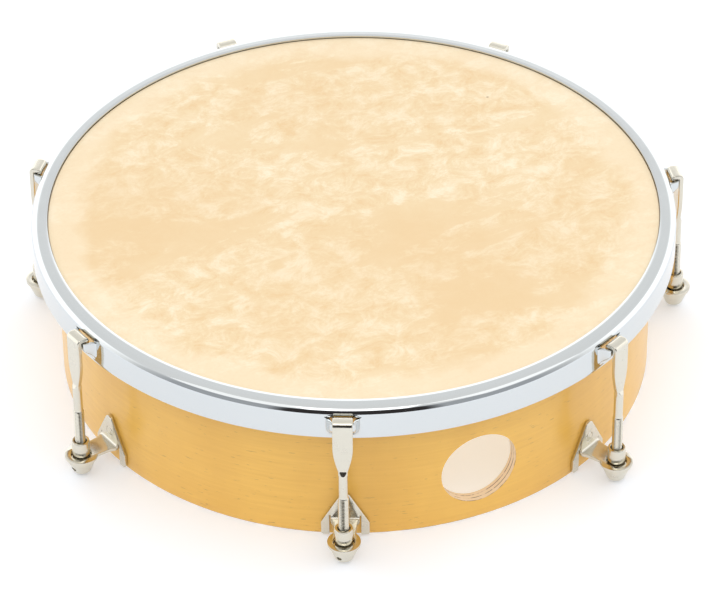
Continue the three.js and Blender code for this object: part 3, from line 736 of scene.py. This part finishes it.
def tension_hook(sizes):
    """A flat strip that is forged into a round threaded rod, bent over at its top into a claw."""
    rod_bottom = HOOK_LOW.z
    thread_top = SHELL_BOTTOM + 33.8 * MM
    flat_end = SHELL_BOTTOM + 59.4 * MM
    shoulder_end = SHELL_BOTTOM + 47.1 * MM
    proud_end = SHELL_BOTTOM + 45.3 * MM
    sunk_start = SHELL_BOTTOM + 47.4 * MM
    half_width = sizes.hook_width / 2
    half_sheet = sizes.hook_sheet / 2
    strip_top = HOOK_HIGH.z - sizes.hook_sheet - BEND_RADIUS
    strip_corner = 0.45 * MM
    pitch = sizes.thread_pitch
    ridge_depth = 0.2 * MM

    levels = [rod_bottom, rod_bottom + 0.25 * MM, rod_bottom + 0.5 * MM]
    ridge_count = int((thread_top - rod_bottom - 0.5 * MM) / (pitch / 4))
    levels += [rod_bottom + 0.5 * MM + pitch / 4 * i for i in range(1, ridge_count)]
    levels += [thread_top, thread_top + 0.3 * MM, thread_top + 4 * MM, thread_top + 8 * MM]
    levels += [proud_end - 0.3 * MM + (sunk_start - proud_end + 0.6 * MM) * i / 10 for i in range(11)]
    levels += [sunk_start + (flat_end - sunk_start) * i / 16 for i in range(1, 17)]
    levels += [flat_end + 3 * MM, flat_end + 7 * MM, strip_top]

    def rod_at(level, direction):
        """The rod's reach in a direction at a level: its thread, its plain part or its cut end."""
        if level < thread_top:
            phase = (level / pitch + direction / math.tau) % 1.0
            ridge = 1 - abs(2 * phase - 1)
            end = smooth_step(level, rod_bottom, rod_bottom + 0.5 * MM)
            fade = smooth_step(thread_top - level, 0, 0.8 * MM)
            reach = sizes.thread_radius - ridge_depth * (1 - ridge) * fade - 0.45 * MM * (1 - end)
            return reach - (1 - fade) * (sizes.thread_radius - sizes.rod_radius)
        if level > sunk_start:
            return 0.8 * MM
        share = max(0.0, (level - proud_end) / (sunk_start - proud_end))
        depth = sizes.rod_radius + (half_sheet - sizes.rod_radius) * share
        return min(sizes.rod_radius, depth / max(abs(math.sin(direction)), 1e-6))

    def half_width_at(level):
        share = min(1.0, max(0.0, (level - shoulder_end) / (flat_end - shoulder_end)))
        return sizes.rod_radius + (half_width - sizes.rod_radius) * math.sin(share * math.pi / 2)

    deselect_all()
    bpy.ops.mesh.primitive_circle_add(
        vertices=len(HOOK_DIRECTIONS), radius=sizes.rod_radius, location=(0, 0, levels[0]))
    apply_place()
    hook = bpy.context.object
    hook.name = hook.data.name = "hook"
    bpy.ops.object.mode_set(mode="EDIT")
    bpy.ops.mesh.select_all(action="SELECT")
    bpy.ops.mesh.edge_face_add()
    bpy.ops.mesh.select_mode(type="FACE")
    for here, there in zip(levels, levels[1:]):
        extrude((0, 0, there - here))
    bpy.ops.object.mode_set(mode="OBJECT")

    # Each ring's vertices are put in order round the rod, and take the hook's outline at their level.
    rings = {}
    for vertex in hook.data.vertices:
        rings.setdefault(round(vertex.co.z / (0.01 * MM)), []).append(vertex)
    for ring in rings.values():
        ring.sort(key=lambda vertex: math.atan2(vertex.co.y, vertex.co.x) % math.tau)
        level = ring[0].co.z
        for vertex, direction in zip(ring, HOOK_DIRECTIONS):
            reach = rod_at(level, direction)
            if level > proud_end - 0.1 * MM:
                bar = rounded_bar_reach(direction, half_width_at(level), half_sheet, strip_corner)
                reach = max(reach, bar)
            vertex.co = Vector((
                reach * math.cos(direction), reach * math.sin(direction) - ROD_RADIUS_FROM_AXIS, level))
    hook.data.update()

    bpy.ops.object.mode_set(mode="EDIT")
    select_where(hook, "FACE", lambda face: (
        face.calc_center_median().z > strip_top - 0.001 * MM and abs(face.normal.z) > 0.9))
    bend_to_claw(-(ROD_RADIUS_FROM_AXIS - half_sheet) + BEND_RADIUS, strip_top)
    return hook


def bend_to_claw(bend_y, bend_level):
    """Spins the strip's top over the ear and draws it down behind it."""
    turn = -math.pi / 2
    claw_bend_y = -(CLAW_BACK + BEND_RADIUS)
    bpy.ops.mesh.spin(steps=8, angle=turn, center=(0, bend_y, bend_level), axis=(-1, 0, 0))
    extrude((0, claw_bend_y - bend_y, 0))
    bpy.ops.mesh.spin(steps=8, angle=turn, center=(0, claw_bend_y, bend_level), axis=(-1, 0, 0))
    claw_tip = SHELL_BOTTOM + 67.5 * MM
    tip_middle = (0, -(CLAW_BACK - 1.0 * MM), claw_tip)
    extrude((0, 0, claw_tip + 0.4 * MM - bend_level))
    for drop, across, through in ((0.3 * MM, 0.95, 0.85), (0.1 * MM, 0.96, 0.7)):
        extrude((0, 0, -drop))
        bpy.ops.transform.resize(value=(across, through, 1.0), center_override=tip_middle)
    close_up()


class HANDDRUM_OT_nuts(Operator):
    """Models one tension nut with its cross hole, and sets one at each lug"""
    bl_idname = "handdrum.nuts"
    bl_label = "Tension Nuts"

    def execute(self, context):
        colours = context.scene.hand_drum_colours
        top, bottom = NUT_HIGH.z, NUT_LOW.z
        head_top = bottom + 6.8 * MM
        rim = head_top - 1.2 * MM
        bore, sleeve, head, tip, cross_hole = 2.55 * MM, 3.75 * MM, 5.9 * MM, 3.8 * MM, 1.1 * MM
        outline = [(bore, bottom + 0.5 * MM), (bore, top - 0.3 * MM), (bore + 0.25 * MM, top)]
        outline += arc(sleeve - 0.35 * MM, top - 0.35 * MM, 0.35 * MM, 90, 0, 3)
        outline += [(sleeve, head_top + 4 * MM), (sleeve, head_top + 0.3 * MM)]
        outline += [(sleeve + 0.3 * MM, head_top)]
        outline += arc(head - 0.4 * MM, head_top - 0.4 * MM, 0.4 * MM, 90, 0, 4)
        outline += [(head, rim + 0.2 * MM), (head - 0.05 * MM, rim)]
        end_round = 1.1 * MM
        steps = 6
        for i in range(1, steps):
            share = i / steps
            outline.append((
                head + (tip + 0.35 * MM - head) * share, rim + (bottom + end_round - rim) * share))
        outline += arc(tip - end_round + 0.3 * MM, bottom + end_round, end_round, -5, -90, 6)
        outline += [(bore + 0.4 * MM, bottom)]
        nut = trace("nut", profile(outline, ROD_RADIUS_FROM_AXIS), closed=True)
        spin_round(56, (0, -ROD_RADIUS_FROM_AXIS, 0))
        hole_level = bottom + 2.8 * MM
        cut(nut, cylinder(cross_hole, 16 * MM, (0, -ROD_RADIUS_FROM_AXIS, hole_level), OUTWARDS, 32))
        finish = metal_finish("nickel plate of the nuts", colours.nickel, 0.2)
        own_turns = {1: 35.0, 2: -12.0, 3: 20.0, 4: 64.0, 5: -38.0, 6: 10.0, 7: -24.0}
        copy_round(nut, "nut", "tension_nut", "nut_{}", finish, own_turns)
        return {"FINISHED"}


class HANDDRUM_OT_brackets(Operator):
    """Models one lug bracket as a blank that is folded, and sets one at each lug"""
    bl_idname = "handdrum.brackets"
    bl_label = "Lug Brackets"

    def execute(self, context):
        bracket = lug_bracket(context.scene.hand_drum_sizes)
        finish = metal_finish("nickel plate of the brackets", context.scene.hand_drum_colours.nickel, 0.2)
        copy_round(bracket, "bracket", "lug_bracket", "drum", finish)
        return {"FINISHED"}


def lug_bracket(sizes):
    """A flat blank with its holes, cut into strips and folded: the plate stands up, the ring lies flat."""
    sheet = sizes.bracket_sheet
    inner_face = 127.17 * MM
    mid = inner_face + sheet / 2
    fold_inside = 1.2 * MM
    fold_mid = fold_inside + sheet / 2
    tab_level = SHELL_BOTTOM + 9.25 * MM
    fold_level = tab_level + fold_mid
    fold_radius_from_axis = mid + fold_mid
    fold_length = math.pi / 2 * fold_mid
    plate_bottom = SHELL_BOTTOM + 1 * MM
    plate_top = SHELL_BOTTOM + 23 * MM
    shoulder = plate_bottom + 6.6 * MM
    half_plate, half_root, half_neck = 10 * MM, 6.0 * MM, 4.7 * MM
    slit = 0.5 * MM
    ring_centre = fold_level - fold_length - (ROD_RADIUS_FROM_AXIS - fold_radius_from_axis)
    ring_outer, ring_hole = 6.95 * MM, 4.45 * MM
    neck_level = fold_level - fold_length - (inner_face + sheet + 5 * MM - fold_radius_from_axis)
    neck_middle = (fold_level - fold_length + neck_level) / 2
    neck_half = half_neck + (half_root - half_neck) * 0.33
    apex_radius = 2.4 * MM
    apex_level = plate_top - apex_radius
    screw_hole = 2.03 * MM
    screw_level = SHELL_BOTTOM + 15 * MM

    to_apex = Vector((-half_plate, apex_level - shoulder))
    slope = math.degrees(math.atan2(to_apex.y, to_apex.x) - math.asin(apex_radius / to_apex.length)) - 90
    meet = math.degrees(math.acos(half_neck / ring_outer))
    side = [(half_root + slit, fold_level), (half_root + slit, plate_bottom)]
    side += arc(half_plate - 1 * MM, plate_bottom + 1 * MM, 1 * MM, -90, 0, 4)
    side += arc(half_plate - 1 * MM, shoulder - 0.4 * MM, 1 * MM, 0, slope, 4)
    outline = side + arc(0, apex_level, apex_radius, slope, 180 - slope, 12)
    outline += [(-x, y) for x, y in reversed(side)]
    outline += [(-half_root, fold_level), (-half_root, fold_level - fold_length)]
    outline += [(-neck_half, neck_middle)]
    outline += arc(0, ring_centre, ring_outer, 180 - meet, 360 + meet, 48)
    outline += [(neck_half, neck_middle), (half_root, fold_level - fold_length), (half_root, fold_level)]
    bracket = trace("bracket", [(x, 0, y) for x, y in outline], closed=True)
    bpy.ops.mesh.edge_face_add()
    add_modifier(bracket, "SOLIDIFY", thickness=sheet, offset=0.0)
    cut(bracket, cylinder(ring_hole, 6 * MM, (0, 0, ring_centre), OUTWARDS, 48))
    cut(bracket, cylinder(screw_hole, 6 * MM, (0, 0, screw_level), OUTWARDS, 32))
    add_modifier(
        bracket, "BEVEL", width=0.22 * MM, segments=2, limit_method="ANGLE", angle_limit=math.radians(50))
    # Cut into strips 1 mm wide, and across the fold into eight.
    bpy.ops.object.mode_set(mode="EDIT")
    for i in range(-9, 10):
        bpy.ops.mesh.select_all(action="SELECT")
        bpy.ops.mesh.bisect(plane_co=(i * MM, 0, 0), plane_no=(1, 0, 0))
    for i in range(9):
        bpy.ops.mesh.select_all(action="SELECT")
        bpy.ops.mesh.bisect(plane_co=(0, 0, fold_level - fold_length * i / 8), plane_no=(0, 0, 1))

    def fold(place):
        """Folds the tab outwards and lays the rest round the shell."""
        out, across, level = -place.y, place.x, place.z
        beside_slits = abs(across) < half_root + slit / 2 and level < fold_level
        if beside_slits or level < plate_bottom - 0.2 * MM:
            along = fold_level - level
            bend = min(1.0, along / fold_length) * math.pi / 2
            beyond = max(0.0, along - fold_length)
            radius = fold_radius_from_axis - (fold_mid - out) * math.cos(bend) + beyond
            height = fold_level - (fold_mid - out) * math.sin(bend)
            return Vector((across, -radius, height))
        angle = across / mid
        return Vector(((mid + out) * math.sin(angle), -(mid + out) * math.cos(angle), level))

    shape(bracket, fold)
    return bracket


class HANDDRUM_OT_fastenings(Operator):
    """Models one screw, washer and hex nut, and sets them at each lug"""
    bl_idname = "handdrum.fastenings"
    bl_label = "Screws, Washers and Hex Nuts"

    def execute(self, context):
        colours = context.scene.hand_drum_colours
        level = (SCREW_LOW.z + SCREW_HIGH.z) / 2

        def revolve(name, points, steps, closed=True):
            """Revolves (distance from the screw's axis, distance from the drum's axis) points."""
            piece = trace(name, [(across, -reach, level) for across, reach in points], closed=closed)
            spin_round(steps, (0, 0, level), (0, 1, 0))
            return piece

        tail, crown = SCREW_LOW.y, SCREW_HIGH.y
        core, ridge, pitch = 1.72 * MM, 2 * MM, 0.7 * MM
        points = [(0, tail), (core - 0.2 * MM, tail)]
        for i in range(7):
            points += [(core, tail + 0.2 * MM + pitch * i), (ridge, tail + 0.2 * MM + pitch * (i + 0.5))]
        points += [(ridge, crown - 0.15 * MM), (ridge - 0.12 * MM, crown), (0, crown)]
        screw = revolve("screw", points, 32, closed=False)
        nickel = metal_finish("nickel plate of the screws", colours.nickel, 0.16)
        copy_round(screw, "screw", "lug_screw", "drum", nickel)

        bore = 2.3 * MM
        inner, outer = WASHER_LOW.y, WASHER_HIGH.y
        rim = (WASHER_HIGH.x - WASHER_LOW.x) / 2
        washer = revolve("washer", [
            (bore, inner), (rim - 0.2 * MM, inner), (rim, inner + 0.2 * MM), (rim, outer - 0.2 * MM),
            (rim - 0.2 * MM, outer), (bore, outer)], 40)
        zinc = metal_finish("zinc plate", colours.zinc, 0.28)
        copy_round(washer, "washer", "lug_washer", "drum", zinc)

        inner, outer = HEX_LOW.y, HEX_HIGH.y
        half_flats = 3.5 * MM
        corner = half_flats / math.cos(math.radians(30))
        points = [(bore, inner), (corner - 0.6 * MM, inner), (corner + 0.1 * MM, inner + 0.4 * MM),
                  (corner + 0.1 * MM, outer - 0.4 * MM), (corner - 0.6 * MM, outer), (bore, outer)]
        hex_nut = revolve("hex_nut", points, 48)
        prism = cylinder(corner, 12 * MM, (0, -(inner + outer) / 2, level), OUTWARDS, 6)
        cut(hex_nut, prism, "INTERSECT")
        copy_round(hex_nut, "hex_nut", "lug_hex_nut", "drum", zinc)
        return {"FINISHED"}


class HANDDRUM_OT_stage(Operator):
    """Sets up the pale floor, the soft studio light and the camera"""
    bl_idname = "handdrum.stage"
    bl_label = "Stage"

    def execute(self, context):
        deselect_all()
        bpy.ops.mesh.primitive_circle_add(
            vertices=96, radius=0.36, fill_type="NGON", location=(0, 0, SHELL_BOTTOM - 0.2 * MM))
        floor = context.object
        floor.name = "pale_floor"
        paint, tree, shader = new_finish("pale floor", 0.75)
        clouds = add_noise(tree, (3, 3, 3), 2.0)
        colour = add_ramp(tree, clouds, [(0.3, (0.76, 0.79, 0.84)), (0.7, (0.79, 0.82, 0.87))])
        tree.links.new(colour, shader.inputs["Base Color"])
        shader.inputs["Emission Color"].default_value = (1.0, 1.0, 1.0, 1.0)
        shader.inputs["Emission Strength"].default_value = 0.3
        floor.data.materials.append(paint)
        studio_light()
        studio_room()
        studio_camera()
        context.scene.view_settings.view_transform = "Standard"
        return {"FINISHED"}


# The photo's point of view: angles in degrees, lengths in metres, the lens in millimetres.
VIEW_AZIMUTH, VIEW_ELEVATION, VIEW_ROLL = -23.54, 37.531, -0.666
VIEW_DISTANCE = 1.7942
VIEW_TARGET = Vector((0.00130, -0.00056, -0.04941))
VIEW_LENS = 208.4


def direction(azimuth, elevation):
    """The direction towards a place in the studio, in degrees, with azimuth 0 in front of the drum."""
    a, e = math.radians(azimuth), math.radians(elevation)
    return Vector((math.sin(a) * math.cos(e), -math.cos(a) * math.cos(e), math.sin(e)))


VIEW_SIDE = direction(VIEW_AZIMUTH, 0)


def studio_camera():
    bpy.ops.object.camera_add()
    camera = bpy.context.object
    camera.name = "camera"
    camera.data.lens = VIEW_LENS
    camera.data.sensor_width = 36
    camera.data.clip_end = 50
    back = direction(VIEW_AZIMUTH, VIEW_ELEVATION)
    rolled = Matrix.Identity(3)
    for turn, axis in ((VIEW_AZIMUTH, "Z"), (90 - VIEW_ELEVATION, "X"), (VIEW_ROLL, "Z")):
        rolled = rolled @ Matrix.Rotation(math.radians(turn), 3, axis)
    camera.matrix_world = Matrix.Translation(VIEW_TARGET + back * VIEW_DISTANCE) @ rolled.to_4x4()
    bpy.context.scene.camera = camera


def add_soft_light(name, azimuth, elevation, distance, size, watts):
    """A square soft light that looks at the drum."""
    place = direction(azimuth, elevation) * distance
    bpy.ops.object.light_add(type="AREA", location=place)
    light = bpy.context.object
    light.name = name
    light.data.shape = "SQUARE"
    light.data.size = size
    light.data.energy = watts
    light.rotation_euler = place.to_track_quat("Z", "Y").to_euler()
    return light


def studio_light():
    """Soft lamps in front and at the sides, and a faint glow inside the drum."""
    add_soft_light("key light", -70, 55, 2.2, 1.4, 2.5)
    add_soft_light("front light", -23, 52, 2.4, 1.2, 6)
    add_soft_light("fill light", 40, 50, 2.4, 1.4, 3)
    low_light = add_soft_light("low front light", -23, 6, 2.4, 1.4, 11)
    low_light.visible_glossy = False
    bpy.ops.object.light_add(type="AREA", location=(0, 0, -2 * MM))
    glow = bpy.context.object
    glow.name = "light through the skin"
    glow.data.shape = "DISK"
    glow.data.size = 0.22
    glow.data.energy = 0.05
    glow.data.color = (1.0, 0.93, 0.8)
    glow.visible_camera = False
    glow.visible_glossy = False


GREY_SIDE = (0.5, 0.52, 0.55)
DARK_SIDE = (0.045, 0.04, 0.04)


def studio_room():
    """A pale room for the plate to mirror: grey and dark low down on the viewer's side, bright behind."""
    world = bpy.context.scene.world or bpy.data.worlds.new("studio")
    bpy.context.scene.world = world
    world.use_nodes = True
    tree = world.node_tree
    tree.nodes.clear()
    outlook = add_node(tree, "TexCoord", "Generated")
    rise = add_node(tree, "SeparateXYZ", "Z", {"Vector": outlook})
    open_room = add_ramp(tree, add_range(tree, rise, -1.0, 1.0, 0.0, 1.0), [
        (0.0, (0.9, 0.9, 0.9)), (0.72, (0.98, 0.99, 1.0)), (0.79, (1.02, 1.03, 1.04)),
        (0.84, (1.0, 1.01, 1.02)), (1.0, (1.0, 1.0, 1.0))])
    # How far a level direction points towards the viewer, from -1 to 1.
    towards = outlook
    for operation, other in (("MULTIPLY", (1, 1, 0)), ("NORMALIZE", None), ("DOT_PRODUCT", VIEW_SIDE)):
        step = tree.nodes.new("ShaderNodeVectorMath")
        step.operation = operation
        tree.links.new(towards, step.inputs[0])
        if other:
            step.inputs[1].default_value = other
        towards = step.outputs["Value" if operation == "DOT_PRODUCT" else "Vector"]
    low_down = add_range(tree, rise, 0.6, 0.68, 1.0, 0.0)
    grey_share = add_math(tree, "MULTIPLY", add_range(tree, towards, 0.2, 0.5, 0.0, 1.0), low_down)
    dark_share = add_math(tree, "MULTIPLY", add_range(tree, towards, 0.88, 0.925, 0.0, 1.0), low_down)
    room = add_mix(tree, grey_share, open_room, GREY_SIDE)
    room = add_mix(tree, dark_share, room, DARK_SIDE)
    seen = add_node(tree, "LightPath", "Is Camera Ray")
    behind = add_range(tree, towards, -0.1, 0.3, 1.0, 0.0)
    backdrop = add_math(tree, "MULTIPLY", add_range(tree, rise, 0.5, 0.578, 0.7, 0.0), behind)
    surface = add_node(tree, "Background", "Background", {
        "Color": add_mix(tree, seen, room, (1.0, 1.0, 1.0)),
        "Strength": add_math(tree, "ADD", backdrop, 0.92)})
    output = tree.nodes.new("ShaderNodeOutputWorld")
    tree.links.new(surface, output.inputs["Surface"])


OPERATORS = (
    HANDDRUM_OT_shell, HANDDRUM_OT_skin, HANDDRUM_OT_flesh_hoop, HANDDRUM_OT_counterhoop, HANDDRUM_OT_hooks,
    HANDDRUM_OT_nuts, HANDDRUM_OT_brackets, HANDDRUM_OT_fastenings, HANDDRUM_OT_stage,
)


class HANDDRUM_PT_panel(Panel):
    """Lists the drum's pieces in the order in which they are made"""
    bl_idname = "HANDDRUM_PT_panel"
    bl_label = "Hand Drum"
    bl_space_type = "VIEW_3D"
    bl_region_type = "UI"
    bl_category = "Hand Drum"

    def draw(self, context):
        for operator in OPERATORS:
            self.layout.operator(operator.bl_idname)
        for group in (context.scene.hand_drum_sizes, context.scene.hand_drum_colours):
            box = self.layout.box()
            for name in group.bl_rna.properties.keys():
                if name not in ("rna_type", "name"):
                    box.prop(group, name)


CLASSES = (HandDrumSizes, HandDrumColours, *OPERATORS, HANDDRUM_PT_panel)


def register():
    for drum_class in CLASSES:
        bpy.utils.register_class(drum_class)
    bpy.types.Scene.hand_drum_sizes = PointerProperty(type=HandDrumSizes)
    bpy.types.Scene.hand_drum_colours = PointerProperty(type=HandDrumColours)


def unregister():
    del bpy.types.Scene.hand_drum_colours
    del bpy.types.Scene.hand_drum_sizes
    for drum_class in reversed(CLASSES):
        bpy.utils.unregister_class(drum_class)


def main():
    register()
    for operator in OPERATORS:
        group, name = operator.bl_idname.split(".")
        getattr(getattr(bpy.ops, group), name)()
    deselect_all()


if __name__ == "__main__":
    main()
